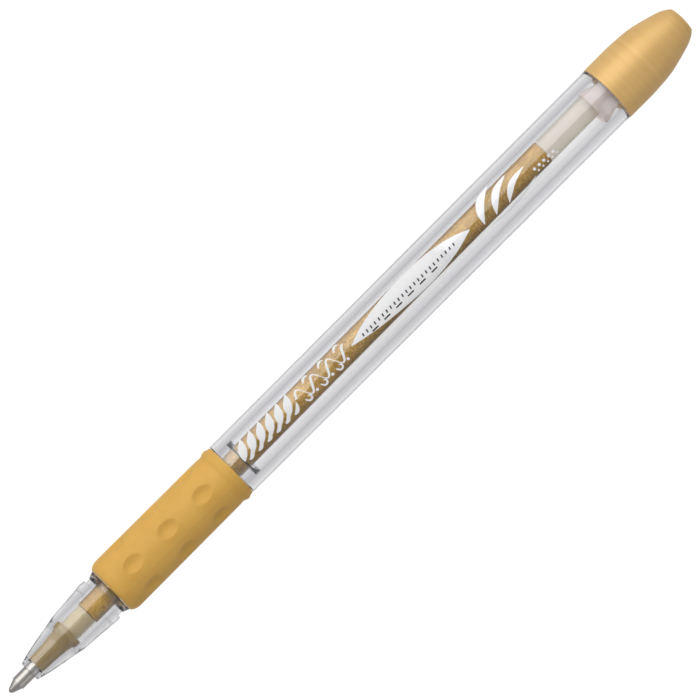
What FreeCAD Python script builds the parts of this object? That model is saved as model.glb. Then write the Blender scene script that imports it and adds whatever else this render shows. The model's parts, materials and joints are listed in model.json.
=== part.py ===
"""Capped gel pen, shown without its push-on cap, lying on its side.

The pen lies along X with its writing tip towards -X. Its lowest line touches z = 0.
Every piece is turned about the pen's axis, so its outline is given as pairs of
(station, radius): the station is the distance from the front of the writing ball.
The refill leans a little in the barrel, because its tail is free in a wide bore.
All lengths are millimetres.
"""
import FreeCAD, Part
import math
import os

LENGTH = 141.0
FIT_GAP = 0.03
RUNNING_GAP = 0.02
LEAST_WALL = 0.3

# Barrel: clear tube with a slim front, which the grip covers, and a slim tail inside the end cap
BARREL_FRONT = 20.0
BARREL_FRONT_R = 3.5
COLLAR_END = 21.05
COLLAR_R = 3.93
GRIP_SEAT_R = 3.65
BARREL_SHOULDER = 46.15
BARREL_SHOULDER_R = 4.59
SHOULDER_ROUND = 0.1
BARREL_TAIL_SHOULDER = 125.0
BARREL_TAIL_SHOULDER_R = 4.80
BARREL_TAIL = 131.5
BARREL_TAIL_R = 4.22
BORE_R = 3.15
FRONT_BORE_R = 2.45
BORE_NECK_START = 47.4
BORE_NECK_END = 49.2

# Nose cone: clear, its spigot screws into the barrel's front
NOSE_FRONT = 4.16
NOSE_FRONT_R = 1.72
NOSE_FRONT_ROUND = 0.22
NOSE_MOUTH_R = 1.25
NOSE_FLANK = [(7.0, 2.35), (10.0, 2.91), (12.4, 3.36)]
NOSE_SLEEVE_MID = (15.2, 3.55)
RIDGE_START = 17.8
RIDGE_END = 18.5
RIDGE_R = 3.86
NOSE_RIM = 19.2
NOSE_RIM_R = 3.78
NOSE_NECK_R = 3.4
SPIGOT_R = 2.9
SPIGOT_END = 27.0
SOCKET_END = 27.5

# Grip: rubber sleeve with a bead at its rear and three rings of finger dimples
GRIP_FRONT = 21.1
GRIP_FRONT_R = 3.96
GRIP_FULL = 22.7
GRIP_FULL_R = 4.64
GRIP_REAR_R = 4.57
GROOVE = 44.1
GROOVE_R = 4.46
BEAD_TOP = 45.0
BEAD_R = 4.80
GRIP_REAR = 46.05
GRIP_EDGE_R = 4.52
DIMPLE_STATIONS = [26.0, 33.15, 40.3]
DIMPLE_ROWS = 6
FIRST_ROW_DEG = 6.0
DIMPLE_BALL_R = 4.42
DIMPLE_DEPTH = 0.35

# End cap: gold shell over the barrel's tail, and the frosted stopper that it covers
CAP_RIM = 125.1
CAP_RIM_R = 4.84
CAP_LAND_START = 125.5
CAP_LAND_END = 129.6
CAP_LAND_R = 4.88
CAP_DOME = [(131.4, 4.80), (134.3, 4.51), (137.3, 3.78), (140.3, 2.58)]
CAP_END_EDGE = (140.75, 2.2)
CAP_SKIRT_R = 4.27
CAP_HOLLOW = [(132.6, CAP_SKIRT_R), (136.2, 3.3), (139.6, 1.6)]
STOPPER_CUP = 121.75
STOPPER_CUP_R = 2.95
STOPPER_CUP_BORE_R = 2.8
STOPPER_FLOOR = 122.5
STOPPER_WAIST = 125.15
STOPPER_WAIST_R = 2.15
STOPPER_PLUG_START = 126.2
STOPPER_PLUG_R = 3.12
STOPPER_FLANGE_R = 4.15
STOPPER_FLANGE_END = 132.3
VENT_R = 0.5

# Refill: steel point in a gold plastic holder, reservoir tube, ink and grease follower
LEAN_DEG = 0.36
LEAN_STATION = 8.0
BALL_R = 0.4
SOCKET_R = 0.415
POINT_LIP = 0.26
POINT_LIP_R = 0.4
POINT_CONE = [(1.0, 0.72), (1.7, 0.96), (2.3, 1.1)]
POINT_END = 9.4
POINT_SEAT_END = 1.6
SEAT_HOLE_R = 0.16
SPRING_BORE_R = 0.55
SPRING_WIRE_R = 0.08
SPRING_COIL_R = 0.38
SPRING_START = 1.75
SPRING_END = 9.3
SPRING_TURNS = 9
HOLDER_FRONT = 5.6
HOLDER_FLANK = [(5.6, 1.37), (7.0, 1.48), (10.0, 1.74), (11.5, 2.18)]
FLANGE_START = 11.75
FLANGE_END = 12.5
FLANGE_R = 2.32
HOLDER_SPIGOT_R = 1.66
HOLDER_END = 16.3
INK_CHANNEL_R = 0.32
VALVE_START = 12.6
VALVE_R = 1.05
VALVE_SEAT = 15.4
VALVE_MOUTH_R = 0.5
CHECK_BALL_R = 0.8
CHECK_BALL_STATION = 13.9
TUBE_FRONT = 12.55
TUBE_END = 122.2
TUBE_R = 2.0
TUBE_BORE_R = 1.7
INK_START = 16.4
INK_END = 112.1
GREASE_START = 112.2
GREASE_END = 119.8

AXIS_HEIGHT = CAP_LAND_R


def at(station, radius):
    """Point on the outline plane for a station and a radius."""
    return FreeCAD.Vector(station - LENGTH / 2, 0, AXIS_HEIGHT + radius)


def outline(start, steps):
    """Closed wire. A step holds one point for a line, two for an arc, more for a smooth curve."""
    edges = []
    last = at(*start)
    if steps[-1][-1] != start:
        steps = steps + [[start]]
    for step in steps:
        points = [at(*pair) for pair in step]
        if len(points) == 1:
            edges.append(Part.LineSegment(last, points[0]).toShape())
        elif len(points) == 2:
            edges.append(Part.Arc(last, points[0], points[1]).toShape())
        else:
            curve = Part.BSplineCurve()
            curve.interpolate([last] + points)
            edges.append(curve.toShape())
        last = points[-1]
    return Part.Wire(edges)


def dome(edge, tip_station):
    """Arc step from an edge point to the axis, square to it, so that it turns into a ball's cap."""
    edge_station, edge_r = edge
    rise = tip_station - edge_station
    ball_r = (edge_r ** 2 + rise ** 2) / (2 * rise)
    half_turn = math.asin(edge_r / ball_r) / 2
    middle = (tip_station - ball_r * (1 - math.cos(half_turn)), ball_r * math.sin(half_turn))
    return [middle, (tip_station, 0)]


def turned(start, *steps):
    """Solid of revolution about the pen's axis."""
    face = Part.Face(outline(start, list(steps)))
    return face.revolve(at(0, 0), FreeCAD.Vector(1, 0, 0), 360)


def leaning(shape):
    """The same piece turned with the refill about the point where the nose cone holds it."""
    shape.rotate(at(LEAN_STATION, 0), FreeCAD.Vector(0, 0, 1), LEAN_DEG)
    return shape


def make_barrel():
    neck_middle = ((BORE_NECK_START + BORE_NECK_END) / 2, (FRONT_BORE_R + BORE_R) / 2 + 0.1)
    return turned(
        (BARREL_FRONT, SPIGOT_R + FIT_GAP),
        [(BARREL_FRONT, BARREL_FRONT_R)],
        [(COLLAR_END, COLLAR_R)],
        [(COLLAR_END, GRIP_SEAT_R)],
        [(BARREL_SHOULDER, GRIP_SEAT_R)],
        [(BARREL_SHOULDER, BARREL_SHOULDER_R - SHOULDER_ROUND)],
        [(BARREL_SHOULDER + SHOULDER_ROUND, BARREL_SHOULDER_R)],
        [(BARREL_TAIL_SHOULDER, BARREL_TAIL_SHOULDER_R)],
        [(BARREL_TAIL_SHOULDER, BARREL_TAIL_R)],
        [(BARREL_TAIL, BARREL_TAIL_R)],
        [(BARREL_TAIL, BORE_R)],
        [(BORE_NECK_END, BORE_R)],
        [neck_middle, (BORE_NECK_START, FRONT_BORE_R)],
        [(SOCKET_END, FRONT_BORE_R)],
        [(SOCKET_END, SPIGOT_R + FIT_GAP)],
    )


def make_nose_cone():
    holder_clearance = 0.12
    seat = [[(station, radius + holder_clearance)] for station, radius in reversed(HOLDER_FLANK)]
    corner = NOSE_FRONT_ROUND * (1 - math.sqrt(0.5))
    return turned(
        (NOSE_FRONT, NOSE_MOUTH_R),
        [(NOSE_FRONT, NOSE_FRONT_R - NOSE_FRONT_ROUND)],
        [(NOSE_FRONT + corner, NOSE_FRONT_R - corner), (NOSE_FRONT + NOSE_FRONT_ROUND, NOSE_FRONT_R)],
        NOSE_FLANK,
        [NOSE_SLEEVE_MID, (RIDGE_START - FIT_GAP, RIDGE_R - 2 * FIT_GAP)],
        [(RIDGE_START, RIDGE_R)],
        [(RIDGE_END, RIDGE_R)],
        [(NOSE_RIM, NOSE_RIM_R)],
        [(NOSE_RIM, NOSE_NECK_R)],
        [(BARREL_FRONT - FIT_GAP, NOSE_NECK_R)],
        [(BARREL_FRONT - FIT_GAP, SPIGOT_R)],
        [(SPIGOT_END, SPIGOT_R)],
        [(SPIGOT_END, FRONT_BORE_R)],
        [(FLANGE_START - FIT_GAP, FRONT_BORE_R)],
        *seat,
        [(HOLDER_FRONT - LEAST_WALL, NOSE_MOUTH_R)],
    )


def make_grip():
    sleeve = turned(
        (GRIP_FRONT, GRIP_SEAT_R + FIT_GAP),
        [(GRIP_FRONT, GRIP_FRONT_R)],
        [(GRIP_FRONT + 0.55, 4.33), (GRIP_FULL, GRIP_FULL_R)],
        [(GROOVE - 0.5, GRIP_REAR_R)],
        [(GROOVE, GROOVE_R)],
        [(BEAD_TOP, BEAD_R), (GRIP_REAR, GRIP_EDGE_R)],
        [(GRIP_REAR, GRIP_SEAT_R + FIT_GAP)],
    )
    cutters = []
    for station in DIMPLE_STATIONS:
        slope = (station - GRIP_FULL) / (GROOVE - GRIP_FULL)
        surface_r = GRIP_FULL_R + slope * (GRIP_REAR_R - GRIP_FULL_R)
        ball_offset = surface_r - DIMPLE_DEPTH + DIMPLE_BALL_R
        for row in range(DIMPLE_ROWS):
            ball = Part.makeSphere(DIMPLE_BALL_R, at(station, ball_offset))
            turn = row * 360 / DIMPLE_ROWS + FIRST_ROW_DEG
            ball.rotate(at(station, 0), FreeCAD.Vector(1, 0, 0), -turn)
            cutters.append(ball)
    return sleeve.cut(Part.makeCompound(cutters))


def make_tail_cap():
    return turned(
        (CAP_RIM, CAP_SKIRT_R),
        [(CAP_RIM, CAP_RIM_R)],
        [(CAP_LAND_START, CAP_LAND_R)],
        [(CAP_LAND_END, CAP_LAND_R)],
        CAP_DOME + [CAP_END_EDGE],
        dome(CAP_END_EDGE, LENGTH),
        [(CAP_HOLLOW[-1][0], 0)],
        [CAP_HOLLOW[-1]],
        [CAP_HOLLOW[1], CAP_HOLLOW[0]],
    )


def make_tail_stopper():
    return turned(
        (STOPPER_CUP, STOPPER_CUP_BORE_R),
        [(STOPPER_CUP, STOPPER_CUP_R)],
        [(STOPPER_FLOOR, STOPPER_CUP_R)],
        [(STOPPER_WAIST, STOPPER_WAIST_R)],
        [(STOPPER_PLUG_START, STOPPER_PLUG_R)],
        [(BARREL_TAIL + FIT_GAP, STOPPER_PLUG_R)],
        [(BARREL_TAIL + FIT_GAP, STOPPER_FLANGE_R)],
        [(STOPPER_FLANGE_END, STOPPER_FLANGE_R)],
        [(STOPPER_FLANGE_END, VENT_R)],
        [(STOPPER_FLOOR, VENT_R)],
        [(STOPPER_FLOOR, STOPPER_CUP_BORE_R)],
    )


def make_writing_ball():
    return leaning(Part.makeSphere(BALL_R, at(BALL_R, 0)))


def make_tip_body():
    """Steel point with the ball's socket, the seat hole behind it and the spring's bore."""
    lip_r = math.sqrt(SOCKET_R ** 2 - (BALL_R - POINT_LIP) ** 2)
    back_of_socket = BALL_R + math.sqrt(SOCKET_R ** 2 - SEAT_HOLE_R ** 2)
    body = turned(
        (POINT_LIP, lip_r),
        [(POINT_LIP, lip_r + 0.03)],
        POINT_CONE,
        [(POINT_END, POINT_CONE[-1][1])],
        [(POINT_END, SPRING_BORE_R)],
        [(POINT_SEAT_END, SPRING_BORE_R)],
        [(POINT_SEAT_END - 0.2, SEAT_HOLE_R)],
        [(back_of_socket, SEAT_HOLE_R)],
        [(BALL_R, SOCKET_R), (POINT_LIP, lip_r)],
    )
    return leaning(body)


def make_tip_spring():
    """Fine compression spring behind the ball, one wire swept along its helix."""
    length = SPRING_END - SPRING_START - 2 * SPRING_WIRE_R
    helix = Part.makeHelix(length / SPRING_TURNS, length, SPRING_COIL_R)
    wire = Part.Wire(Part.Circle(FreeCAD.Vector(SPRING_COIL_R, 0, 0), FreeCAD.Vector(0, 1, 0),
                                 SPRING_WIRE_R).toShape())
    coil = Part.Wire(helix.Edges).makePipeShell([wire], True, True)
    coil.rotate(FreeCAD.Vector(0, 0, 0), FreeCAD.Vector(0, 1, 0), 90)
    coil.translate(at(SPRING_START + SPRING_WIRE_R, 0))
    return leaning(coil)


def make_tip_holder():
    shank_r = POINT_CONE[-1][1]
    holder = turned(
        (HOLDER_FRONT, shank_r),
        [HOLDER_FLANK[0]],
        HOLDER_FLANK[1:],
        [(FLANGE_START, FLANGE_R)],
        [(FLANGE_END, FLANGE_R)],
        [(FLANGE_END, HOLDER_SPIGOT_R)],
        [(HOLDER_END, HOLDER_SPIGOT_R)],
        [(HOLDER_END, VALVE_MOUTH_R)],
        [(VALVE_SEAT, VALVE_MOUTH_R)],
        [(VALVE_SEAT - 0.5, VALVE_R)],
        [(VALVE_START + 0.3, VALVE_R)],
        [(VALVE_START, INK_CHANNEL_R)],
        [(POINT_END, INK_CHANNEL_R)],
        [(POINT_END, shank_r)],
    )
    return leaning(holder)


def make_check_ball():
    return leaning(Part.makeSphere(CHECK_BALL_R, at(CHECK_BALL_STATION, 0)))


def ring(front, end, inner_r, outer_r):
    """Plain tube along the refill's axis."""
    tube = turned((front, inner_r), [(front, outer_r)], [(end, outer_r)], [(end, inner_r)])
    return leaning(tube)


def rod(front, end, radius):
    """Plain rod along the refill's axis."""
    solid = turned((front, 0), [(front, radius)], [(end, radius)], [(end, 0)])
    return leaning(solid)


PIECES = {
    "barrel": make_barrel(),
    "nose_cone": make_nose_cone(),
    "grip": make_grip(),
    "tail_cap": make_tail_cap(),
    "tail_stopper": make_tail_stopper(),
    "writing_ball": make_writing_ball(),
    "tip_body": make_tip_body(),
    "tip_spring": make_tip_spring(),
    "tip_holder": make_tip_holder(),
    "check_ball": make_check_ball(),
    "reservoir_tube": ring(TUBE_FRONT, TUBE_END, TUBE_BORE_R, TUBE_R),
    "ink_column": rod(INK_START, INK_END, TUBE_BORE_R - RUNNING_GAP),
    "grease_follower": rod(GREASE_START, GREASE_END, TUBE_BORE_R - RUNNING_GAP),
}

os.makedirs("parts", exist_ok=True)
for name, shape in PIECES.items():
    shape.exportStep("parts/" + name + ".step")
    print(name, "solids", len(shape.Solids), "valid", shape.isValid(), "volume", round(shape.Volume, 3))
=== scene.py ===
# %% [markdown]
# # A clear gel pen with metallic gold ink
# The pen lies on its side, tip towards -X. A clear barrel and nose cone hold a refill of gold ink,
# a dimpled rubber grip covers the barrel's slim front, and a gold end cap closes the tail. Nearly
# every piece is a smooth turned shape, and the rest is what light does in thick clear plastic.

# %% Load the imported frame
import json
import math

import bmesh
import bpy
from mathutils import Matrix, Vector


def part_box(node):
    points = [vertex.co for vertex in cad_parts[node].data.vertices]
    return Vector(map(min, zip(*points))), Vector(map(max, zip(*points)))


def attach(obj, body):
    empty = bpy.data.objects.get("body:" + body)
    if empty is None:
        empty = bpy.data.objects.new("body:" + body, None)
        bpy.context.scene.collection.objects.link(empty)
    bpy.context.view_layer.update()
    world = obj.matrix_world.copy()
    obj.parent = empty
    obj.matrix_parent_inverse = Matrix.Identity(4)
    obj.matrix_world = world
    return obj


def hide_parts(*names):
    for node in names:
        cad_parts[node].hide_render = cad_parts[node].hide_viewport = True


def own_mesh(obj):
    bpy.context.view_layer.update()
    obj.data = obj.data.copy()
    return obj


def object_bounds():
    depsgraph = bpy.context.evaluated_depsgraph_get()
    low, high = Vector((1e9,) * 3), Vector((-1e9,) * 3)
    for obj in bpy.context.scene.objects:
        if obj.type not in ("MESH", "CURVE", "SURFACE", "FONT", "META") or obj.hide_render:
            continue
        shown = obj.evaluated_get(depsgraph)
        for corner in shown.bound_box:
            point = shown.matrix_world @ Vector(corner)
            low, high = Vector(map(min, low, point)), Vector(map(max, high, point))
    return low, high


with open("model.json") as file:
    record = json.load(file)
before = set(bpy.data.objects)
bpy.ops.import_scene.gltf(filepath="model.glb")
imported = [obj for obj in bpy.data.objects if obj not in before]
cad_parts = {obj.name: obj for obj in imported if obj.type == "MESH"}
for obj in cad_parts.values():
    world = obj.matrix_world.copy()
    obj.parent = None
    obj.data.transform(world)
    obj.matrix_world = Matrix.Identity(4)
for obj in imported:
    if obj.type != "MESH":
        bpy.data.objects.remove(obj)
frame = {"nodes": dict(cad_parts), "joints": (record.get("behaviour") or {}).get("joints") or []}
cad_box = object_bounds()
scene = bpy.context.scene
MM = 0.001
print("frame box in mm:", [tuple(round(c / MM, 2) for c in corner) for corner in cad_box])

# %% [markdown]
# ## Two axes
# The barrel is turned about the pen's axis. The refill is turned about its own axis, which leans a
# little, because its tail lies against the wide bore. A station is a distance from the front of
# the writing ball along an axis. Both axes are read from the frame.

# %% The pen's axis and the refill's axis
class Axis:
    """A turning axis: where station 0 is, the way along it, and two ways square to it."""

    def __init__(self, start, along):
        self.start = Vector(start)
        self.along = Vector(along).normalized()
        self.up = Vector((0, 0, 1))
        self.side = self.up.cross(self.along).normalized()

    def point(self, station, radius=0.0, turn=0.0):
        """The point at a radius, turned from straight up towards +Y."""
        out = self.up * math.cos(turn) + self.side * math.sin(turn)
        return self.start + self.along * station + out * radius


joints = {joint["name"]: joint for joint in frame["joints"]}
cap_low, cap_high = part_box("tail_cap")
ball_low, ball_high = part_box("writing_ball")
AXIS_HEIGHT = (cap_low.z + cap_high.z) / 2
BALL_RADIUS = (ball_high.z - ball_low.z) / 2
PEN_LENGTH = cad_box[1].x - cad_box[0].x

pen_axis = Axis((cad_box[0].x, 0, AXIS_HEIGHT), (1, 0, 0))
refill_way = -Vector(joints["refill_draw"]["axis"])
ball_centre = Vector(joints["writing_ball_roll"]["pos_m"])
refill_axis = Axis(ball_centre - refill_way.normalized() * BALL_RADIUS, refill_way)
print("pen length", round(PEN_LENGTH / MM, 2), "mm, lean",
      round(math.degrees(refill_way.angle(Vector((1, 0, 0)))), 2), "degrees")


def station_of(node, high=True):
    """The station where a node ends, or where it starts."""
    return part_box(node)[1 if high else 0].x - cad_box[0].x


# %% [markdown]
# ## Outlines from the frame
# The frame's meshes are made of flat triangles, and flat facets show at once in glass. So each
# outline is read off a copy of the CAD mesh, cut by a half plane through the axis, and is then
# turned again with many more sides, so every piece keeps its size.

# %% Read a piece's outline
FLAT = 2e-7  # Two points this close, in metres, are one.
SEAM = 6e-6  # A point this close to the cutting plane lies on it.


def half_section(node, axis):
    """The node's outline above the axis as a list of (station, radius), and whether it closes."""
    cut = bmesh.new()
    cut.from_mesh(frame["nodes"][node].data)
    bmesh.ops.remove_doubles(cut, verts=cut.verts, dist=FLAT)
    for normal, drop in ((axis.up, True), (axis.side, False)):
        everything = cut.verts[:] + cut.edges[:] + cut.faces[:]
        bmesh.ops.bisect_plane(cut, geom=everything, dist=SEAM, plane_co=axis.start,
                               plane_no=normal, clear_inner=drop)
    bmesh.ops.remove_doubles(cut, verts=cut.verts, dist=FLAT)
    neighbours = {v: [] for v in cut.verts if abs((v.co - axis.start).dot(axis.side)) < SEAM}
    for edge in cut.edges:
        if edge.verts[0] in neighbours and edge.verts[1] in neighbours:
            neighbours[edge.verts[0]].append(edge.verts[1])
            neighbours[edge.verts[1]].append(edge.verts[0])
    spots = {v: ((v.co - axis.start).dot(axis.along), (v.co - axis.start).dot(axis.up))
             for v in neighbours}
    ends = [v for v in neighbours if len(neighbours[v]) == 1]
    here = min(ends or [v for v in neighbours if neighbours[v]], key=spots.get)
    chain = []
    while here is not None:
        chain.append(here)
        here = next((v for v in neighbours[here] if v not in chain), None)
    found = [(s, r if r > SEAM else 0.0) for s, r in map(spots.get, chain)]
    cut.free()
    return found, not ends


# %% [markdown]
# A section through triangles has many idle points in line, and its curves are short straight runs.
# The next helpers drop the idle points, run a smooth curve through what bends gently, and round
# the true corners a little, because a rounded edge catches a thin highlight.

# %% Tidy, smooth and round an outline
STRAIGHT = math.radians(0.4)
CORNER = math.radians(14)
SHARPEST = 3.0
REACH = 0.4


def turn_at(points, i):
    """How far the outline turns at point i."""
    before = Vector(points[i]) - Vector(points[i - 1])
    after = Vector(points[(i + 1) % len(points)]) - Vector(points[i])
    return before.angle(after, 0.0)


def without_idle_points(points, closed):
    """Drops the points that lie on the line between their neighbours."""
    kept = list(points)
    i = 0 if closed else 1
    while i < len(kept) - (0 if closed else 1) and len(kept) > 3:
        a, b = Vector(kept[i - 1]), Vector(kept[(i + 1) % len(kept)])
        p, line = Vector(kept[i]), b - a
        off = abs(line.x * (p - a).y - line.y * (p - a).x) / max(line.length, FLAT)
        if off < FLAT:
            kept.pop(i)
            i = max(i - 1, 0 if closed else 1)
        else:
            i += 1
    return kept


def curve_between(a, b, c, d, t):
    """Catmull-Rom point between b and c, at the share t of the way."""
    a, b, c, d = Vector(a), Vector(b), Vector(c), Vector(d)
    return tuple(0.5 * (2 * b + (c - a) * t + (2 * a - 5 * b + 4 * c - d) * t * t
                        + (3 * b - a - 3 * c + d) * t ** 3))


def smoothed(points, closed, parts=4):
    """Adds points on a smooth curve wherever the outline bends gently."""
    n = len(points)
    bends = [0.0 if not closed and i in (0, n - 1) else turn_at(points, i) for i in range(n)]
    gentle = [STRAIGHT < bend < CORNER for bend in bends]
    made = []
    for i in range(n if closed else n - 1):
        j = (i + 1) % n
        made.append(points[i])
        if gentle[i] or gentle[j]:
            before = points[i - 1] if gentle[i] else points[i]
            after = points[(j + 1) % n] if gentle[j] else points[j]
            made += [curve_between(before, points[i], points[j], after, k / parts)
                     for k in range(1, parts)]
    return made if closed else made + [points[-1]]


def rounded(points, closed, radius, parts=4):
    """Rounds each corner off the axis with an arc-like curve of about this radius."""
    n, made = len(points), []
    for i, point in enumerate(points):
        end = not closed and i in (0, n - 1)
        bend = 0.0 if end else turn_at(points, i)
        if bend < CORNER:
            made.append(point)
            continue
        p = Vector(point)
        before, after = Vector(points[i - 1]) - p, Vector(points[(i + 1) % n]) - p
        reach = min(radius * math.tan(min(bend, SHARPEST) / 2), REACH * before.length,
                    REACH * after.length)
        start, stop = p + before.normalized() * reach, p + after.normalized() * reach
        for k in range(parts + 1):
            t = k / parts
            made.append(tuple(start * (1 - t) ** 2 + p * 2 * t * (1 - t) + stop * t * t))
    return made


def with_guard_loops(points, closed, guard=0.06 * MM, step=3 * MM):
    """Adds points near the ends of long straight runs, so that shading stays flat along them."""
    made = []
    n = len(points)
    for i in range(n if closed else n - 1):
        a, b = Vector(points[i]), Vector(points[(i + 1) % n])
        length = (b - a).length
        made.append(points[i])
        if length > 4 * guard:
            count = max(1, round(length / step))
            places = [guard] + [length * k / count for k in range(1, count)] + [length - guard]
            made += [tuple(a.lerp(b, place / length)) for place in places]
    return made if closed else made + [points[-1]]


# %% [markdown]
# ## Turning an outline
# Blender's Screw modifier would turn an outline too. A short function is used instead, because it
# gives one clean point where an outline meets the axis, and it closes the ring without a seam.

# %% Turn an outline into a closed mesh
def mesh_of(name, shape):
    """The mesh of a built shape, its faces pointing outwards."""
    bmesh.ops.recalc_face_normals(shape, faces=shape.faces)
    mesh = bpy.data.meshes.new(name)
    shape.to_mesh(mesh)
    shape.free()
    return mesh


def turned_mesh(name, points, closed, axis, around):
    """A closed surface of revolution with smooth shading."""
    shape = bmesh.new()
    rings = []
    for station, radius in points:
        if radius < FLAT:
            rings.append([shape.verts.new(axis.point(station))])
        else:
            rings.append([shape.verts.new(axis.point(station, radius, 2 * math.pi * k / around))
                          for k in range(around)])
    count = len(rings)
    for i in range(count if closed else count - 1):
        one, two = rings[i], rings[(i + 1) % count]
        for k in range(around):
            m = (k + 1) % around
            corners = [one[k % len(one)], one[m % len(one)], two[m % len(two)], two[k % len(two)]]
            corners = list(dict.fromkeys(corners))
            if len(corners) > 2:
                shape.faces.new(corners)
    mesh = mesh_of(name, shape)
    mesh.polygons.foreach_set("use_smooth", [True] * len(mesh.polygons))
    return mesh


def quarter_ellipse(start, stop, parts=12):
    """Rises steeply from start and comes level at stop, both (station, radius) in metres."""
    (s0, r0), (s1, r1) = start, stop
    swings = [math.pi / 2 * k / parts for k in range(parts + 1)]
    return [(s1 - (s1 - s0) * math.cos(t), r0 + (r1 - r0) * math.sin(t)) for t in swings]


# Inside runs that are eased: (first station, last station, largest radius, the new points).
EASED = {
    "barrel": (47.0 * MM, 49.3 * MM, 3.3 * MM,
               quarter_ellipse((48.1 * MM, 2.45 * MM), (49.2 * MM, 3.15 * MM))),
    "nose_cone": (11.0 * MM, 12.0 * MM, 2.6 * MM,
                  [(11.3 * MM, 2.36 * MM), (12.9 * MM, 2.45 * MM)])}


def eased(node, points):
    """Replaces an inside step that clear plastic would show as a hard black ring."""
    first, last, widest, fresh = EASED[node]
    inside = [i for i, (s, r) in enumerate(points) if first < s < last and r < widest]
    rising = points[inside[-1]][0] > points[inside[0]][0]
    return points[:inside[0]] + (fresh if rising else fresh[::-1]) + points[inside[-1] + 1:]


def finished_outline(node, axis, edge=0.08 * MM):
    """The node's outline, tidied, smoothed and with its corners rounded."""
    points, closed = half_section(node, axis)
    points = without_idle_points(points, closed)
    points = eased(node, points) if node in EASED else points
    points = smoothed(points, closed)
    return rounded(points, closed, edge), closed


def new_object(name, data):
    """An object in the scene that holds a mesh, a lamp or a camera."""
    made = bpy.data.objects.new(name, data)
    scene.collection.objects.link(made)
    return made


def add_piece(name, mesh, material, body, nodes=()):
    """Puts a mesh in the scene as a piece that rides on a body and stands for CAD nodes."""
    piece = new_object(name, mesh)
    mesh.materials.clear()
    mesh.materials.append(material)
    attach(piece, body)
    if nodes:
        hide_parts(*nodes)
    print(name, "on", body, len(mesh.polygons), "faces")
    return piece


# %% [markdown]
# ## Materials
# A small helper starts each material with its Principled shader, so that a finish is only what
# makes it different. Another adds a node and links or sets its inputs, and a third writes sums.

# %% Helpers for node trees
def new_material(name, **values):
    """A material with one Principled shader whose sockets hold these values."""
    material = bpy.data.materials.new(name)
    material.use_nodes = True
    shader = material.node_tree.nodes["Principled BSDF"]
    for socket, value in values.items():
        shader.inputs[socket.replace("_", " ")].default_value = value
    print("material", name)
    return material, material.node_tree, shader


def add_node(tree, kind, inputs=None, **settings):
    """A node with its settings, each input linked to an output or set to a value."""
    node = tree.nodes.new(kind)
    for name, value in settings.items():
        setattr(node, name, value)
    for name, value in (inputs or {}).items():
        if isinstance(value, bpy.types.NodeSocket):
            tree.links.new(value, node.inputs[name])
        else:
            node.inputs[name].default_value = value
    return node


def calculator(tree):
    """A function that adds a Math node to the tree and gives its result."""
    def result_of(operation, *inputs):
        node = add_node(tree, "ShaderNodeMath", dict(enumerate(inputs)), operation=operation)
        return node.outputs[0]
    return result_of


def object_texture(tree, kind, **inputs):
    """A texture that reads the piece's own Object coordinates, in metres."""
    place = add_node(tree, "ShaderNodeTexCoord")
    return add_node(tree, kind, {"Vector": place.outputs["Object"], **inputs})


def add_ramp(tree, factor, *stops):
    """The colour of a ramp through (position, colour) stops, fed by a factor."""
    ramp = add_node(tree, "ShaderNodeValToRGB", {"Fac": factor})
    elements = ramp.color_ramp.elements
    elements[0].position, elements[1].position = stops[0][0], stops[-1][0]
    elements[0].color, elements[1].color = (*stops[0][1], 1.0), (*stops[-1][1], 1.0)
    for position, colour in stops[1:-1]:
        elements.new(position).color = (*colour, 1.0)
    return ramp.outputs["Color"]


def colour_by(tree, shader, factor, *stops):
    """Feeds such a ramp into the shader's Base Color."""
    tree.links.new(add_ramp(tree, factor, *stops), shader.inputs["Base Color"])


def colour_cloud(tree, shader, scale, detail, *stops):
    """Colours the shader by a soft noise."""
    cloud = object_texture(tree, "ShaderNodeTexNoise", Scale=scale, Detail=detail)
    colour_by(tree, shader, cloud.outputs["Fac"], *stops)


def new_group(name, kind, inputs, outputs):
    """A node group and its ends. An input is given by its first value, or else by its type."""
    group = bpy.data.node_groups.new(name, kind)
    types = {float: "Float", int: "Int"}
    for label, value in inputs.items():
        socket = "NodeSocket" + types.get(type(value), value)
        made = group.interface.new_socket(label, in_out="INPUT", socket_type=socket)
        if type(value) in types:
            made.default_value = value
    for label, type_name in outputs.items():
        group.interface.new_socket(label, in_out="OUTPUT", socket_type="NodeSocket" + type_name)
    print("node group", name)
    given, result = group.nodes.new("NodeGroupInput"), group.nodes.new("NodeGroupOutput")
    return group, given.outputs, result.inputs


def use_group(tree, group, **values):
    """A group placed in a material with its own values."""
    node = tree.nodes.new("ShaderNodeGroup")
    node.node_tree = group
    for name, value in values.items():
        node.inputs[name.replace("_", " ")].default_value = value
    return node


# %% [markdown]
# ### Shared effects
# Moulded and turned surfaces are never even. `surface_grain` gives the fine grain of a mould, and
# `turning_bands` the faint rings that a lathe leaves round a piece: its noise is squeezed across
# the pen, so it changes along the pen only. Both read Object coordinates, so sizes are real.

# %% Node groups for grain and for turning bands
def noise_by_size(group, vector, size, detail, roughness):
    """A noise texture whose features have about this size in mm."""
    per_metre = calculator(group)("DIVIDE", 1 / MM, size)
    return add_node(group, "ShaderNodeTexNoise", {
        "Vector": vector, "Scale": per_metre, "Detail": detail, "Roughness": roughness})


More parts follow.
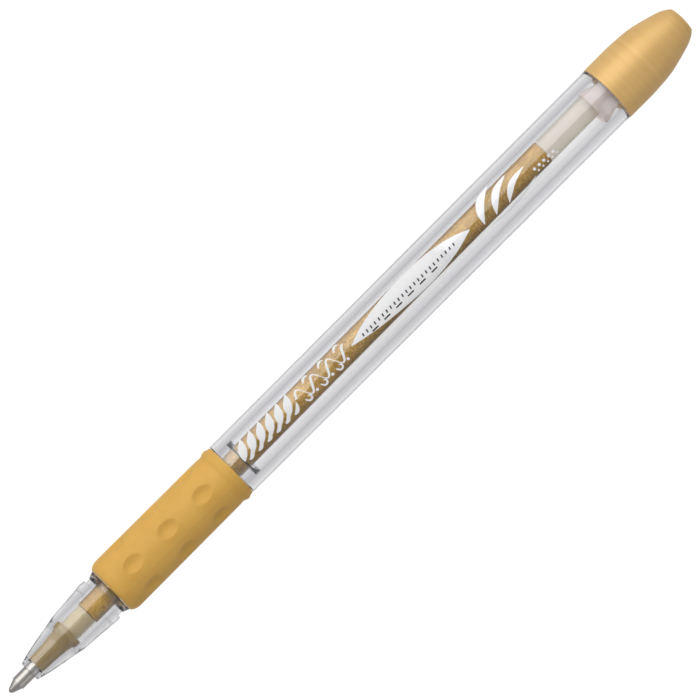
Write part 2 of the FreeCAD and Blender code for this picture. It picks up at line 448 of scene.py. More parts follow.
def grain_group():
    group, given, result = new_group(
        "surface_grain", "ShaderNodeTree",
        {"Size mm": 0.2, "Least Roughness": 0.3, "Most Roughness": 0.5},
        {"Roughness": "Float", "Height": "Float"})
    place = add_node(group, "ShaderNodeTexCoord")
    noise = noise_by_size(group, place.outputs["Object"], given["Size mm"], 3.0, 0.6)
    spread = add_node(group, "ShaderNodeMapRange", {
        "Value": noise.outputs["Fac"], "From Min": 0.3, "From Max": 0.7,
        "To Min": given["Least Roughness"], "To Max": given["Most Roughness"]})
    group.links.new(spread.outputs["Result"], result["Roughness"])
    group.links.new(noise.outputs["Fac"], result["Height"])
    return group


def bands_group():
    group, given, result = new_group(
        "turning_bands", "ShaderNodeTree", {"Pitch mm": 0.5, "Squeeze": 0.03},
        {"Height": "Float"})
    place = add_node(group, "ShaderNodeTexCoord")
    across = given["Squeeze"]
    scales = add_node(group, "ShaderNodeCombineXYZ", {"X": 1.0, "Y": across, "Z": across})
    squeezed = add_node(group, "ShaderNodeVectorMath",
                        {0: place.outputs["Object"], 1: scales.outputs[0]}, operation="MULTIPLY")
    noise = noise_by_size(group, squeezed.outputs[0], given["Pitch mm"], 2.0, 0.5)
    group.links.new(noise.outputs["Fac"], result["Height"])
    return group


surface_grain = grain_group()
turning_bands = bands_group()


def add_grain(tree, shader, size_mm, least, most):
    """Feeds grain into the shader's Roughness and gives its height, for a bump."""
    grain = use_group(tree, surface_grain, Size_mm=size_mm, Least_Roughness=least,
                      Most_Roughness=most)
    tree.links.new(grain.outputs["Roughness"], shader.inputs["Roughness"])
    return grain.outputs["Height"]


def add_bump(tree, shader, height, strength, distance_mm):
    """Feeds a height through a Bump node into the shader's Normal."""
    bump = add_node(tree, "ShaderNodeBump",
                    {"Height": height, "Strength": strength, "Distance": distance_mm * MM})
    tree.links.new(bump.outputs["Normal"], shader.inputs["Normal"])


# %% [markdown]
# ### Clear plastic
# Clear polystyrene bends light more than window glass. Light that enters beside the bore is thrown
# out sideways, so a thick clear tube has a grey band along each edge, with one thin bright line in
# it. Real refraction bends the light, as long as the walls have their true thickness, and the grey
# of the bands is painted shade: the table looks greyer to rays that meet it at a slant. Shadow
# rays pass through a Transparent shader, or the barrel would shade its own refill.

# %% Clear plastic
PLASTIC_IOR = 1.57
CLEAR_SHADE = (0.95, 0.95, 0.96)


def let_lamps_through(tree, shader, colour):
    """Shadow rays see a tinted open surface instead of the shader."""
    open_way = add_node(tree, "ShaderNodeBsdfTransparent", {"Color": (*colour, 1.0)})
    path = add_node(tree, "ShaderNodeLightPath")
    mix = add_node(tree, "ShaderNodeMixShader", {
        0: path.outputs["Is Shadow Ray"], 1: shader.outputs[0], 2: open_way.outputs[0]})
    tree.links.new(mix.outputs[0], tree.nodes["Material Output"].inputs["Surface"])


def clear_plastic(name, tint, roughness, wave_mm, wave_height_mm):
    """Clear plastic, its skin very slightly wavy, as a moulding's is."""
    material, tree, shader = new_material(
        name, Base_Color=(*tint, 1.0), IOR=PLASTIC_IOR, Transmission_Weight=1.0)
    wave = add_grain(tree, shader, wave_mm, roughness, roughness + 0.02)
    add_bump(tree, shader, wave, 1.0, wave_height_mm)
    let_lamps_through(tree, shader, CLEAR_SHADE)
    return material


barrel_plastic = clear_plastic("clear_barrel_plastic", (0.985, 0.985, 0.99), 0.01, 9.0, 0.05)
nose_plastic = clear_plastic("clear_nose_plastic", (0.97, 0.97, 0.975), 0.06, 4.0, 0.03)

# %% [markdown]
# ### Rubber
# The grip is soft satin rubber with a fine spark-eroded grain. A little sheen lifts its edges, and
# a little subsurface light softens its dimples. Two close colours in a cloud keep it from looking
# painted.

# %% Rubber grip
def grip_rubber():
    material, tree, shader = new_material(
        "mustard_grip_rubber", Specular_IOR_Level=0.35, Sheen_Weight=0.25, Sheen_Roughness=0.4,
        Sheen_Tint=(1.0, 0.85, 0.6, 1.0), Subsurface_Weight=0.12, Subsurface_Scale=0.0006)
    colour_cloud(tree, shader, 260.0, 3.0, (0.3, (0.66, 0.375, 0.072)), (0.7, (0.72, 0.42, 0.088)))
    add_bump(tree, shader, add_grain(tree, shader, 0.09, 0.52, 0.68), 0.35, 0.01)
    return material


rubber = grip_rubber()

# %% [markdown]
# ### Gold end cap
# The cap's gold comes from fine metal flake in plastic, so it is less than half metallic, with a
# soft highlight and faint bands from the mould. A full metal would mirror the table like brass.

# %% Gold end cap
def gold_cap_plastic():
    material, tree, shader = new_material(
        "satin_gold_plastic", Metallic=0.3, Coat_Weight=0.15, Coat_Roughness=0.45)
    bands = use_group(tree, turning_bands, Pitch_mm=0.7, Squeeze=0.05)
    colour_by(tree, shader, bands.outputs["Height"],
              (0.3, (0.735, 0.455, 0.155)), (0.7, (0.785, 0.50, 0.18)))
    add_grain(tree, shader, 0.05, 0.44, 0.54)
    add_bump(tree, shader, bands.outputs["Height"], 0.12, 0.01)
    return material


cap_gold = gold_cap_plastic()

# %% [markdown]
# ### Steel and carbide
# The point and the ball are turned and ground metal. The steel's rings are a bump, because they
# are far finer than any mesh.

# %% Steel and carbide
def turned_metal(name, dark, light, least, most, ring_strength):
    """Bare metal with the fine rings that a turning tool leaves."""
    material, tree, shader = new_material(name, Metallic=1.0)
    bands = use_group(tree, turning_bands, Pitch_mm=0.12, Squeeze=0.02)
    colour_by(tree, shader, bands.outputs["Height"], (0.0, dark), (1.0, light))
    add_grain(tree, shader, 0.06, least, most)
    add_bump(tree, shader, bands.outputs["Height"], ring_strength, 0.01)
    return material


tip_steel = turned_metal("turned_tip_steel", (0.36, 0.34, 0.31), (0.62, 0.60, 0.56),
                         0.28, 0.42, 0.6)
ball_carbide = turned_metal("ground_ball_carbide", (0.34, 0.34, 0.35), (0.42, 0.42, 0.43),
                            0.08, 0.14, 0.02)

# %% [markdown]
# ### Gold ink
# The ink is gold flake in gel: a satin metal with single flakes that glint and a darker ground
# between them. A Voronoi texture gives each flake its own brightness and roughness, so that glints
# come and go as the pen turns. A Layer Weight darkens the colour where the column turns away:
# painted shade along its edges.

# %% Gold ink
def gold_ink():
    material, tree, shader = new_material(
        "metallic_gold_ink", Metallic=0.15, Specular_IOR_Level=0.12)
    flakes = object_texture(tree, "ShaderNodeTexVoronoi", Scale=9000.0)
    streaks = object_texture(tree, "ShaderNodeTexNoise", Scale=420.0, Detail=4.0)
    bright, rough, height = add_node(tree, "ShaderNodeSeparateColor",
                                     {"Color": flakes.outputs["Color"]}).outputs
    calc = calculator(tree)
    blend = calc("MULTIPLY_ADD", bright, 0.5, calc("MULTIPLY", streaks.outputs["Fac"], 0.45))
    gold = add_ramp(tree, blend, (0.15, (0.22, 0.122, 0.014)),
                    (0.5, (0.52, 0.295, 0.034)), (1.0, (1.0, 0.74, 0.30)))
    # Painted shade: the gold is made darker where the column turns away from view, along its
    # edges.
    facing = add_node(tree, "ShaderNodeLayerWeight", {"Blend": 0.5})
    edge = add_ramp(tree, facing.outputs["Facing"], (0.12, (1.0, 1.0, 1.0)),
                    (0.75, (0.46, 0.40, 0.31)))
    gold_with_painted_edge_shade = add_node(tree, "ShaderNodeVectorMath", {0: gold, 1: edge}, operation="MULTIPLY")
    gloss = add_node(tree, "ShaderNodeMapRange", {"Value": rough, "To Min": 0.5, "To Max": 0.8})
    tree.links.new(gold_with_painted_edge_shade.outputs[0], shader.inputs["Base Color"])
    tree.links.new(gloss.outputs["Result"], shader.inputs["Roughness"])
    add_bump(tree, shader, height, 0.25, 0.01)
    return material


ink_gold = gold_ink()

# %% [markdown]
# ### Milky plastics
# The tube, the grease, the stopper and the tip holder share one recipe: glass rough enough to
# blur, with part of it replaced by a plain tinted surface through a Transmission Weight below 1.
# The tube bends light only a little, because ink and grease wet it.

# %% Milky plastics
def milky(name, colour, roughness, transmission, ior=1.45, gloss=0.5):
    material, tree, shader = new_material(
        name, IOR=ior, Transmission_Weight=transmission, Specular_IOR_Level=gloss)
    darker = [channel * 0.93 for channel in colour]
    colour_cloud(tree, shader, 350.0, 3.0, (0.0, darker), (1.0, colour))
    add_grain(tree, shader, 0.3, roughness, roughness + 0.1)
    let_lamps_through(tree, shader, colour)
    return material


tube_plastic = milky("translucent_tube_plastic", (0.97, 0.95, 0.91), 0.05, 1.0, 1.12, 0.2)
grease_gel = milky("follower_grease", (0.85, 0.82, 0.775), 0.6, 0.8, 1.2, 0.1)
stopper_plastic = milky("frosted_stopper_plastic", (0.84, 0.775, 0.75), 0.55, 0.75, 1.3, 0.2)

# %% [markdown]
# The tip holder is gold-tinted, and its spigot is painted paler, as painted light for the milky
# end of the tube that is pressed over it. Its colour goes by the station, through a Map Range on
# the X coordinate.

# %% Tip holder
SPIGOT_START = 12.6 * MM
SPIGOT_BLEND = 0.1 * MM


def holder_plastic():
    material = milky("gold_tinted_holder_plastic", (0.5, 0.5, 0.5), 0.34, 0.1)
    tree = material.node_tree
    start = cad_box[0].x + SPIGOT_START
    place = add_node(tree, "ShaderNodeTexCoord")
    split = add_node(tree, "ShaderNodeSeparateXYZ", {0: place.outputs["Object"]})
    # Painted light: the spigot's colour is made paler, for the milky tube pressed over it.
    along = add_node(tree, "ShaderNodeMapRange", {
        "Value": split.outputs["X"], "From Min": start - SPIGOT_BLEND,
        "From Max": start + SPIGOT_BLEND})
    cloud = object_texture(tree, "ShaderNodeTexNoise", Scale=700.0, Detail=3.0)
    calc = calculator(tree)
    mottle_and_painted_light = calc("ADD", calc("MULTIPLY", cloud.outputs["Fac"], 0.12), along.outputs["Result"])
    colour_by(tree, tree.nodes["Principled BSDF"], mottle_and_painted_light,
              (0.0, (0.27, 0.175, 0.044)), (1.0, (0.52, 0.44, 0.27)))
    return material


holder_gold = holder_plastic()

# %% [markdown]
# ## Turned pieces
# Each visible turned node is made again from its own outline. The barrel and the nose cone get the
# most sides, because everything behind them is seen through them.

# %% Barrel, nose cone, end cap and stopper
SMOOTH_AROUND = 160
FINE_AROUND = 64


def turned_piece(node, body, axis, material, edge=0.08 * MM, around=SMOOTH_AROUND,
                 name=None, shift=tuple):
    """Makes a node again from its outline, finely turned, and lets it stand for the node."""
    name = name or "smooth_" + node
    points, closed = finished_outline(node, axis, edge)
    points = with_guard_loops([shift(point) for point in points], closed)
    mesh = turned_mesh(name, points, closed, axis, around)
    return add_piece(name, mesh, material, body, [node])


turned_piece("barrel", "pen", pen_axis, barrel_plastic, 0.06 * MM)
turned_piece("nose_cone", "nose", pen_axis, nose_plastic, 0.06 * MM)
turned_piece("tail_cap", "pen", pen_axis, cap_gold, 0.12 * MM)
turned_piece("tail_stopper", "pen", pen_axis, stopper_plastic)

# %% [markdown]
# ### Refill
# The refill's hard parts are turned about its own leaning axis. The spring behind the writing ball
# is never seen, so it stays the frame's own mesh and only gets its steel.

# %% Refill
turned_piece("tip_body", "refill", refill_axis, tip_steel, 0.03 * MM, FINE_AROUND * 2)
turned_piece("writing_ball", "ball", refill_axis, ball_carbide, 0, FINE_AROUND)
turned_piece("tip_holder", "refill", refill_axis, holder_gold, 0.05 * MM)
turned_piece("reservoir_tube", "refill", refill_axis, tube_plastic, 0.05 * MM)
turned_piece("check_ball", "valve", refill_axis, tip_steel, 0, FINE_AROUND)
spring_mesh = frame["nodes"]["tip_spring"].data
spring_mesh.materials.clear()
spring_mesh.materials.append(tip_steel)

# %% [markdown]
# ### Ink and grease
# Ink and grease wet the tube, so no film of air lies between them and the wall. Both are made a
# little wider than the bore, which fills the tube as it looks from outside. A tail of grease
# clings to the wall behind the follower. As the ink is used up, its column shortens from the rear.

# %% Ink and grease
WETTING = 0.04 * MM
GREASE_TAIL = 2.1 * MM
END_ZONE = 0.5 * MM
MIDDLE_RADIUS = 1.0 * MM


def wetting_piece(name, node, body, material, tail=0.0):
    """A turned fill that reaches into the tube's wall, with a tail behind the node's own end."""
    end = station_of(node) - END_ZONE

    def wetted(point):
        s, r = point
        return s + tail if s > end else s, r + WETTING if r > MIDDLE_RADIUS else r

    return turned_piece(node, body, refill_axis, material, 0.05 * MM, name=name,
                        shift=wetted)


wetting_piece("follower_grease", "grease_follower", "follower", grease_gel, GREASE_TAIL)
ink = wetting_piece("gold_ink", "ink_column", "refill", ink_gold)
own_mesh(ink)

# %% [markdown]
# ## Grip
# The grip follows a rule: a turned sleeve with three rings of oval dimples, one in every sixth of
# a turn. A Geometry Nodes tree presses the dimples in: it folds every point into one cell of the
# pattern and sinks it by how near it is to the cell's middle. The mould's parting line is a fine
# raised ridge on both sides, made in the same tree.

# %% Sleeve outline
grip_low, grip_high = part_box("grip")
GRIP_START = station_of("grip", high=False)
GRIP_END = station_of("grip")
BEAD_RADIUS = (grip_high.z - grip_low.z) / 2
GRIP_SEAT_RADIUS = 3.68 * MM
GRIP_RIM_RADIUS = 3.9 * MM
GRIP_FRONT_RADIUS = 4.64 * MM
GRIP_REAR_RADIUS = 4.57 * MM
SHOULDER_LENGTH = 1.6 * MM
BEAD_LENGTH = 1.95 * MM
GROOVE_DEPTH = 0.07 * MM
GROOVE_RUN = 0.5 * MM


def grip_outline(shoulder_parts=12, skin_parts=110, bead_parts=24):
    """Closed outline of the sleeve: front edge, rounded shoulder, groove, bead and rear edge."""
    shoulder = GRIP_START + SHOULDER_LENGTH
    groove = GRIP_END - BEAD_LENGTH
    points = [(GRIP_START, GRIP_SEAT_RADIUS), (GRIP_START, GRIP_RIM_RADIUS)]
    corner_depth, corner_rise = shoulder - GRIP_START, GRIP_FRONT_RADIUS - GRIP_RIM_RADIUS
    for k in range(1, shoulder_parts + 1):
        swing = k / shoulder_parts * math.pi / 2
        points.append((GRIP_START + corner_depth * (1 - math.cos(swing)) ** 0.9,
                       GRIP_RIM_RADIUS + corner_rise * math.sin(swing)))
    for k in range(1, skin_parts):
        share = k / skin_parts
        points.append((shoulder + (groove - GROOVE_RUN - shoulder) * share,
                       GRIP_FRONT_RADIUS + (GRIP_REAR_RADIUS - GRIP_FRONT_RADIUS) * share))
    bead_length = GRIP_END - groove
    for k in range(bead_parts + 1):
        share = k / bead_parts
        dip = -GROOVE_DEPTH * math.exp(-((share - 0.02) / 0.12) ** 2)
        swell = (BEAD_RADIUS - GRIP_REAR_RADIUS) * math.exp(-((share - 0.5) / 0.27) ** 2)
        points.append((groove + bead_length * share * 0.93, GRIP_REAR_RADIUS + dip + swell))
    rear_edge = [(GRIP_END - 0.03 * MM, 4.55 * MM), (GRIP_END, 4.48 * MM)]
    return points + rear_edge + [(GRIP_END, GRIP_SEAT_RADIUS)]


# %% [markdown]
# ### Dimples
# The pattern is folded with Wrap and Round, and a soft maximum gives each bowl a smooth rim. Real
# dimples catch the lamp, which a painted pattern can't do.

# %% Press the dimples with Geometry Nodes
RIDGE_WIDTH = 0.13 * MM
SOFT_RIM = 0.07


def end_tree(group, given, result, geometry):
    """Ends a tree with real geometry that has its material."""
    whole = add_node(group, "GeometryNodeRealizeInstances", {0: geometry})
    paint = add_node(group, "GeometryNodeSetMaterial",
                     {"Geometry": whole.outputs[0], "Material": given["Material"]})
    group.links.new(paint.outputs[0], result["Geometry"])
    return group


def dimple_tree():
    """Sinks oval dimples into a turned sleeve and raises its parting line."""
    group, given, result = new_group(
        "grip_dimples", "GeometryNodeTree",
        {"Geometry": "Geometry", "Axis Start": "Vector", "First Station": 0.0, "Pitch": 0.007,
         "Rings": 3, "Rows": 6, "First Row": 0.0, "Half Length": 0.0017, "Half Width": 0.0012,
         "Depth": 0.0003, "Skin Radius": 0.0042, "Ridge Turn": 0.0, "Ridge Height": 0.00002,
         "Material": "Material"}, {"Geometry": "Geometry"})
    calc = calculator(group)

    # Where each point lies: its station, its radius and its turn.
    position = add_node(group, "GeometryNodeInputPosition")
    local = add_node(group, "ShaderNodeVectorMath",
                     {0: position.outputs[0], 1: given["Axis Start"]}, operation="SUBTRACT")
    split = add_node(group, "ShaderNodeSeparateXYZ", {0: local.outputs[0]})
    station, across, height = split.outputs
    radius = calc("SQRT", calc("ADD", calc("MULTIPLY", across, across),
                               calc("MULTIPLY", height, height)))
    turn = calc("ARCTAN2", across, height)

    # How far it is from the middle of its cell, round the sleeve and along it.
    half_cell = calc("MULTIPLY", calc("DIVIDE", 2 * math.pi, given["Rows"]), 0.5)
    folded = calc("WRAP", calc("SUBTRACT", turn, given["First Row"]), half_cell,
                  calc("MULTIPLY", half_cell, -1.0))
    arc = calc("MULTIPLY", folded, radius)
    past_first = calc("SUBTRACT", station, given["First Station"])
    nearest = calc("ROUND", calc("DIVIDE", past_first, given["Pitch"]))
    last = calc("SUBTRACT", given["Rings"], 1.0)
    ring = calc("MINIMUM", calc("MAXIMUM", nearest, 0.0), last)
    along = calc("SUBTRACT", past_first, calc("MULTIPLY", ring, given["Pitch"]))

    # The oval bowl, and the ridge on both sides.
    squares = [calc("POWER", calc("ABSOLUTE", calc("DIVIDE", way, given[half])), 2.0)
               for way, half in ((along, "Half Length"), (arc, "Half Width"))]
    bowl = calc("SMOOTH_MAX", calc("SUBTRACT", 1.0, calc("ADD", *squares)), 0.0, SOFT_RIM)
    sink = calc("MULTIPLY", bowl, given["Depth"])
    from_ridge = calc("WRAP", calc("SUBTRACT", turn, given["Ridge Turn"]),
                      math.pi / 2, -math.pi / 2)
    ridge_arc = calc("DIVIDE", calc("MULTIPLY", from_ridge, radius), RIDGE_WIDTH)
    ridge_fall = calc("EXPONENT", calc("MULTIPLY", calc("MULTIPLY", ridge_arc, ridge_arc), -1.0))
    rise = calc("MULTIPLY", ridge_fall, given["Ridge Height"])

    # Only the outer skin moves, straight in or out.
    on_skin = calc("GREATER_THAN", radius, given["Skin Radius"])
    shift = calc("MULTIPLY", calc("SUBTRACT", rise, sink), on_skin)
    outward = add_node(group, "ShaderNodeCombineXYZ", {
        "Y": calc("DIVIDE", across, radius), "Z": calc("DIVIDE", height, radius)})
    offset = add_node(group, "ShaderNodeVectorMath", {0: outward.outputs[0], "Scale": shift},
                      operation="SCALE")
    move = add_node(group, "GeometryNodeSetPosition",
                    {"Geometry": given["Geometry"], "Offset": offset.outputs[0]})
    return end_tree(group, given, result, move.outputs[0])


def run_tree(name, mesh, group, **values):
    """Runs a Geometry Nodes tree on a mesh and returns the plain mesh that it makes."""
    holder = new_object(name + "_base", mesh)
    modifier = holder.modifiers.new(name, "NODES")
    modifier.node_group = group
    sockets = {item.name: item.identifier for item in group.interface.items_tree
               if item.item_type == "SOCKET" and item.in_out == "INPUT"}
    for label, value in values.items():
        modifier[sockets[label.replace("_", " ")]] = value
    depsgraph = bpy.context.evaluated_depsgraph_get()
    made = bpy.data.meshes.new_from_object(holder.evaluated_get(depsgraph), depsgraph=depsgraph)
    made.name = name
    bpy.data.objects.remove(holder)
    return made


SLEEVE_AROUND = 336
sleeve = turned_mesh("grip_sleeve", grip_outline(), True, pen_axis, SLEEVE_AROUND)
grip_mesh = run_tree(
    "dimpled_grip", sleeve, dimple_tree(), Axis_Start=tuple(pen_axis.start),
    First_Station=26.0 * MM, Pitch=7.15 * MM, Rings=3, Rows=6, First_Row=math.radians(6.0),
    Half_Length=1.75 * MM, Half_Width=1.25 * MM, Depth=0.54 * MM, Skin_Radius=4.2 * MM,
    Ridge_Turn=math.radians(-25.0), Ridge_Height=0.02 * MM, Material=rubber)
add_piece("dimpled_grip", grip_mesh, rubber, "pen", ["grip"])

# %% [markdown]
# ## Print
# The barrel carries white print over the refill, in four parts: a row of slanted leaves, a thin
# vine with dots, a long pointed patch with a black scale on it, and large sweeping strokes. All of
# it is ornament and none of it is lettering. Both paints are nearly flat, with a faint mottle
# where the ink lies thinner.

# %% Paints
def print_paint(name, dark, light, roughness=0.35):
    material, tree, shader = new_material(name, Specular_IOR_Level=0.45)
    colour_cloud(tree, shader, 900.0, 4.0, (0.0, dark), (1.0, light))
    add_grain(tree, shader, 0.12, roughness, roughness + 0.15)
    return material


white_print = print_paint("white_print_ink", (0.76, 0.76, 0.77), (0.84, 0.84, 0.84))
black_print = print_paint("black_print_ink", (0.012, 0.012, 0.014), (0.03, 0.03, 0.032))

# %% [markdown]
# ### Drawing on the flat
# The artwork is drawn flat, with x as the station and y as the distance round the barrel. Each
# stroke is a closed strip with a real thickness of ink. A picture would blur at its edges close
# up.

# %% Flat artwork
INK_BOTTOM = 0.005 * MM
INK_TOP = 0.025 * MM
THINNEST = 0.012


def flowing(controls, parts=9):
    """A smooth path through (station, arc, half width) controls, given in mm."""
    n, path = len(controls), []
    for i in range(n - 1):
        before, after = controls[max(i - 1, 0)], controls[min(i + 2, n - 1)]
        path += [curve_between(before, controls[i], controls[i + 1], after, k / parts)
                 for k in range(parts)]
    return path + [controls[-1]]


def dot(station, arc, radius, parts=14):
    """A round dot as a path whose half width follows the circle."""
    swings = [math.pi * k / parts for k in range(parts + 1)]
    return [(station - radius * math.cos(t), arc, radius * math.sin(t)) for t in swings]


def artwork(name, paths, lanes=6, lift=0.0):
    """Closed thin strips along the paths, flat in x and y, in metres."""
    shape = bmesh.new()
    for path in paths:
        rows = []
        for i, (s, a, w) in enumerate(path):
            before, after = path[max(i - 1, 0)], path[min(i + 1, len(path) - 1)]
            way = Vector((after[0] - before[0], after[1] - before[1])).normalized()
            w = max(w, THINNEST)
            ends = [(s - way.y * w * t, a + way.x * w * t)
                    for t in (2 * k / lanes - 1 for k in range(lanes + 1))]
            rows.append([[shape.verts.new((x * MM, y * MM, z + lift)) for x, y in ends]
                         for z in (INK_TOP, INK_BOTTOM)])
        for (top, low), (next_top, next_low) in zip(rows, rows[1:]):
            for k in range(lanes):
                shape.faces.new((top[k], next_top[k], next_top[k + 1], top[k + 1]))
                shape.faces.new((low[k], low[k + 1], next_low[k + 1], next_low[k]))
            shape.faces.new((top[0], low[0], next_low[0], next_top[0]))
            shape.faces.new((top[-1], next_top[-1], next_low[-1], low[-1]))
        for top, low in (rows[0], rows[-1]):
            for k in range(lanes):
                shape.faces.new((top[k], top[k + 1], low[k + 1], low[k]))
    return mesh_of(name, shape)


# %% [markdown]
# ### Repeating and wrapping
# One Geometry Nodes tree repeats an artwork along a line of points and wraps it on the barrel,
# whose taper is read from its outline.

# %% Repeat and wrap
def wrap_tree():
    """Repeats flat artwork in a row and wraps it on the tapered barrel."""
    group, given, result = new_group(
        "wrap_on_barrel", "GeometryNodeTree",
        {"Geometry": "Geometry", "Count": 1, "Pitch": "Vector", "Axis Start": "Vector",
         "Front Station": 0.0, "Front Radius": 0.0046, "Taper": 0.0, "Material": "Material"},
        {"Geometry": "Geometry"})
    calc = calculator(group)
    line = add_node(group, "GeometryNodeMeshLine",
                    {"Count": given["Count"], "Offset": given["Pitch"]})
    row = add_node(group, "GeometryNodeInstanceOnPoints",
                   {"Points": line.outputs[0], "Instance": given["Geometry"]})
    flat = add_node(group, "GeometryNodeRealizeInstances", {0: row.outputs[0]})
    position = add_node(group, "GeometryNodeInputPosition")
    split = add_node(group, "ShaderNodeSeparateXYZ", {0: position.outputs[0]})
    station, arc, height = split.outputs
    grown = calc("MULTIPLY", calc("SUBTRACT", station, given["Front Station"]),
                 given["Taper"])
    skin = calc("ADD", grown, given["Front Radius"])
    turn = calc("DIVIDE", arc, skin)
    radius = calc("ADD", skin, height)
    place = add_node(group, "ShaderNodeCombineXYZ", {
        "X": station, "Y": calc("MULTIPLY", radius, calc("SINE", turn)),
        "Z": calc("MULTIPLY", radius, calc("COSINE", turn))})
    world = add_node(group, "ShaderNodeVectorMath",
                     {0: place.outputs[0], 1: given["Axis Start"]}, operation="ADD")
    move = add_node(group, "GeometryNodeSetPosition",
                    {"Geometry": flat.outputs[0], "Position": world.outputs[0]})
    return end_tree(group, given, result, move.outputs[0])


COLLAR_END = 47 * MM
COLLAR_RADIUS = 4.55 * MM
WIDE_RADIUS = 4.75 * MM
barrel_outline, _ = finished_outline("barrel", pen_axis)
BARREL_FRONT = max(p for p in barrel_outline if p[0] < COLLAR_END and p[1] > COLLAR_RADIUS)
BARREL_REAR = max(p for p in barrel_outline if p[1] > WIDE_RADIUS)
TAPER = (BARREL_REAR[1] - BARREL_FRONT[1]) / (BARREL_REAR[0] - BARREL_FRONT[0])
wrap_on_barrel = wrap_tree()
print("barrel from", BARREL_FRONT, "to", BARREL_REAR)


def printed(name, paths, paint, count=1, pitch=(0, 0), lanes=6, lift=0.0):
    """Draws an artwork, repeats it and wraps it as one printed piece."""
    mesh = run_tree(name, artwork(name, paths, lanes, lift), wrap_on_barrel, Count=count,
                    Pitch=(pitch[0] * MM, pitch[1] * MM, 0), Axis_Start=tuple(pen_axis.start),
                    Front_Station=BARREL_FRONT[0], Front_Radius=BARREL_FRONT[1], Taper=TAPER,
                    Material=paint)
    return add_piece(name, mesh, paint, "pen")


# %% [markdown]
# ### The four parts of the print
# Every path is a few (station, arc, half width) controls in mm with a smooth curve through them,
# so a stroke swells and thins like one from a brush. The leaves, the dots and the scale's ticks
# repeat.

# %% Leaves and vine
leaf = flowing([(48.2, -0.6, 0.05), (48.6, 0.1, 0.52), (49.1, 0.9, 0.66), (49.6, 1.7, 0.42),
                (49.9, 2.35, 0.05)])
leaf_foot = flowing([(48.9, -0.9, 0.12), (49.5, -0.75, 0.3), (50.0, -0.25, 0.24),
                     (50.3, 0.35, 0.05)])
printed("print_leaves", [leaf, leaf_foot], white_print, 6, (1.87, 0), 5)
WAVE = 0.98
vine = flowing([(60.0 + 0.5 * k, 0.55 + 1.05 * math.sin(k * WAVE),
                 0.13 + 0.07 * math.cos(k * WAVE)) for k in range(22)], 6)
curl = flowing([(60.9, -0.4, 0.1), (61.3, -0.95, 0.15), (61.8, -0.9, 0.16), (61.95, -0.45, 0.14),
                (61.6, -0.25, 0.08)])
sprig = flowing([(62.3, 1.5, 0.08), (62.7, 2.0, 0.2), (63.2, 2.15, 0.14), (63.6, 1.95, 0.05)])
printed("print_vine", [vine], white_print, lanes=3)
printed("print_vine_curls", [curl, sprig, dot(63.2, -0.6, 0.24)], white_print, 3, (3.2, 0), 3)

# %% [markdown]
# The patch is one long stroke that swells to nearly 4 mm. The scale on it is black, raised a
# little so that it lies on the white.

# %% Patch and scale
patch = flowing([(71.2, 0.35, 0.02), (73.2, 0.5, 0.62), (76.2, 0.62, 1.25), (80.2, 0.66, 1.72),
                 (84.5, 0.6, 1.95), (88.5, 0.52, 1.8), (92.0, 0.4, 1.25), (94.4, 0.3, 0.55),
                 (95.8, 0.22, 0.03)])
printed("print_patch", [patch], white_print, lanes=24)
tick = [(73.6, 0.10, 0.11), (73.66, 0.34, 0.11), (73.72, 0.58, 0.11)]
printed("print_ticks", [tick], black_print, 24, (0.82, 0), 2, INK_TOP)
bar = [(75.0, -0.30, 0.1), (75.5, -0.30, 0.1), (76.2, -0.30, 0.1)]
printed("print_scale_bars", [bar], black_print, 6, (2.46, 0), 2, INK_TOP)

# %% [markdown]
# Three broad leaves lean back over one long sweep, and a short row of dots ends the print.

# %% Sweeping strokes and dots
strokes = [
    flowing([(97.9, -0.9, 0.04), (98.6, 0.7, 0.55), (100.0, 2.2, 0.6), (102.3, 3.2, 0.04)]),
    flowing([(100.2, -1.1, 0.04), (101.2, 0.3, 0.5), (102.8, 1.6, 0.52), (105.2, 2.35, 0.04)]),
    flowing([(102.8, -1.2, 0.04), (103.9, -0.1, 0.42), (105.5, 0.8, 0.44), (108.0, 1.2, 0.04)]),
    flowing([(98.2, -1.75, 0.03), (101.0, -1.95, 0.2), (104.6, -1.85, 0.24), (108.4, -1.1, 0.03)])]
printed("print_strokes", strokes, white_print, lanes=5)
printed("print_dots", [dot(108.9, -0.25, 0.24), dot(109.25, -0.8, 0.16)], white_print,
        5, (0.95, -0.02), 4)

# %% [markdown]
# ## Stage, light and camera
# The pen lies on a plain near-white table that glows, so that clear plastic on it looks clean. The
# camera sees the table as plain white. Light that reaches it through the plastic sees it greyer
# the
# more it slants: this grey is painted shade, and it gives the grey bands along the barrel.

# %% Table and sky
HALF_TABLE = 3.0
table_mesh = bpy.data.meshes.new("white_table")
table_mesh.from_pydata([(x * HALF_TABLE, y * HALF_TABLE, 0)
                        for x, y in ((-1, -1), (1, -1), (1, 1), (-1, 1))], [], [(0, 1, 2, 3)])
table = new_object("white_table", table_mesh)


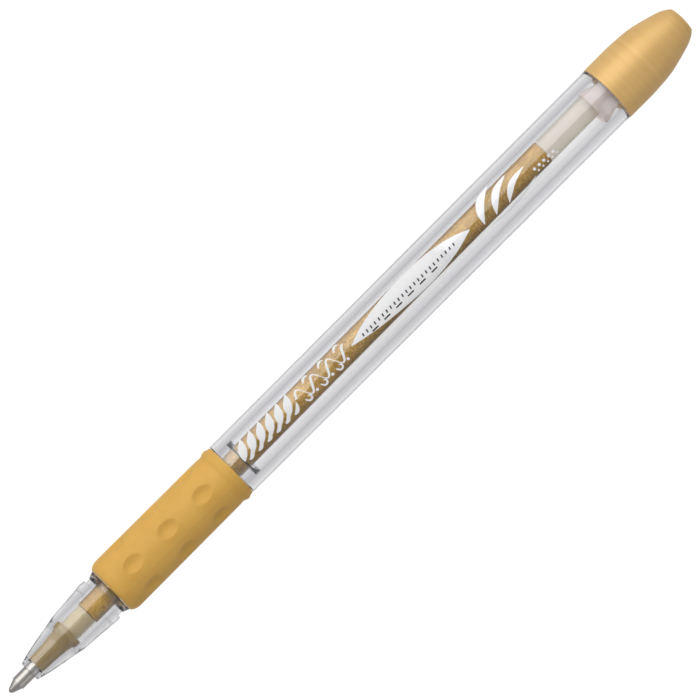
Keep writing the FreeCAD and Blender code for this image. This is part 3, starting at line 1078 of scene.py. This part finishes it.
def light_table():
    """A glowing table, plain white to the camera and, by painted shade, greyer at a slant to other
    rays.
    """
    material, tree, shader = new_material(
        "light_table", Base_Color=(0.12, 0.12, 0.12, 1.0), Roughness=0.9, Specular_IOR_Level=0.0,
        Emission_Strength=1.0)
    facing = add_node(tree, "ShaderNodeLayerWeight", {"Blend": 0.5})
    # Painted shade: the table's glow turns grey for rays that meet it at a slant, darker the more
    # they slant.
    painted_slant_shade = add_ramp(tree, facing.outputs["Facing"], (0.01, (0.76, 0.76, 0.76)),
                       (0.05, (0.62, 0.62, 0.63)), (0.16, (0.54, 0.54, 0.56)),
                       (0.6, (0.40, 0.40, 0.42)))
    path = add_node(tree, "ShaderNodeLightPath")
    seen = add_node(tree, "ShaderNodeMix", {0: path.outputs["Is Camera Ray"]}, data_type="RGBA")
    colours = {socket.name: socket for socket in seen.inputs if socket.type == "RGBA"}
    colours["B"].default_value = (0.97, 0.97, 0.97, 1.0)
    tree.links.new(painted_slant_shade, colours["A"])
    shown = next(socket for socket in seen.outputs if socket.type == "RGBA")
    tree.links.new(shown, shader.inputs["Emission Color"])
    return material


table_mesh.materials.append(light_table())

world = bpy.data.worlds.new("soft_sky")
scene.world = world
world.use_nodes = True
sky = world.node_tree.nodes["Background"].inputs
sky["Color"].default_value = (0.99, 0.99, 1.0, 1.0)
sky["Strength"].default_value = 0.4

# %% [markdown]
# ### Lamps
# A large soft lamp on the far side gives the long highlight on the cap and the grip. A small weak
# one on the near side opens the shaded edge.

# %% Lamps
def add_lamp(name, place, size, watts):
    """A soft rectangular lamp that points at the middle of the pen."""
    data = bpy.data.lights.new(name, "AREA")
    data.shape = "RECTANGLE"
    data.size, data.size_y = size
    data.energy = watts
    lamp = new_object(name, data)
    lamp.location = place
    lamp.rotation_euler = (-Vector(place)).to_track_quat("-Z", "Y").to_euler()
    print("lamp", name, watts, "W")


add_lamp("key_softbox", (0.02, 0.55, 0.62), (1.5, 0.9), 7.3)
add_lamp("low_fill", (0.1, -0.7, 0.45), (0.8, 0.4), 0.6)

# %% [markdown]
# ### Camera
# The camera stands nearly a metre above the tip and looks along the pen. Its picture is turned so
# that the pen runs from corner to corner. The lens follows from the wanted scale and the distance.

# %% Camera
PICTURE_SIDE = 700
SCALE_PER_MM = 6.772
SENSOR = 36.0
CAMERA_HEIGHT = 0.92
CAMERA_STATION = -2 * MM
TARGET_STATION = 71.06 * MM
TARGET_SIDE = 0.12 * MM


def add_camera():
    """A long lens above the tip, its picture turned 45 degrees, aimed at the pen's middle."""
    data = bpy.data.cameras.new("camera")
    camera = new_object("camera", data)
    place = pen_axis.point(CAMERA_STATION) + Vector((0, 0, CAMERA_HEIGHT))
    target = pen_axis.point(TARGET_STATION) + Vector((0, TARGET_SIDE, 0))
    forward = (target - place).normalized()
    along = (pen_axis.along - forward * pen_axis.along.dot(forward)).normalized()
    across = forward.cross(along) * -1
    right, up = (along - across).normalized(), (along + across).normalized()
    camera.rotation_mode = "QUATERNION"
    camera.rotation_quaternion = Matrix((right, up, -forward)).transposed().to_quaternion()
    camera.location = place
    data.sensor_width = SENSOR
    data.lens = SCALE_PER_MM / MM * (target - place).length / PICTURE_SIDE * SENSOR
    data.clip_start, data.clip_end = 0.01, 20.0
    scene.camera = camera
    print("lens", round(data.lens, 1), "mm")


add_camera()
scene.view_settings.view_transform = "Standard"

# Light crosses a dozen clear walls in the nose, each of them a bounce.
scene.cycles.max_bounces = 32
scene.cycles.transmission_bounces = 32
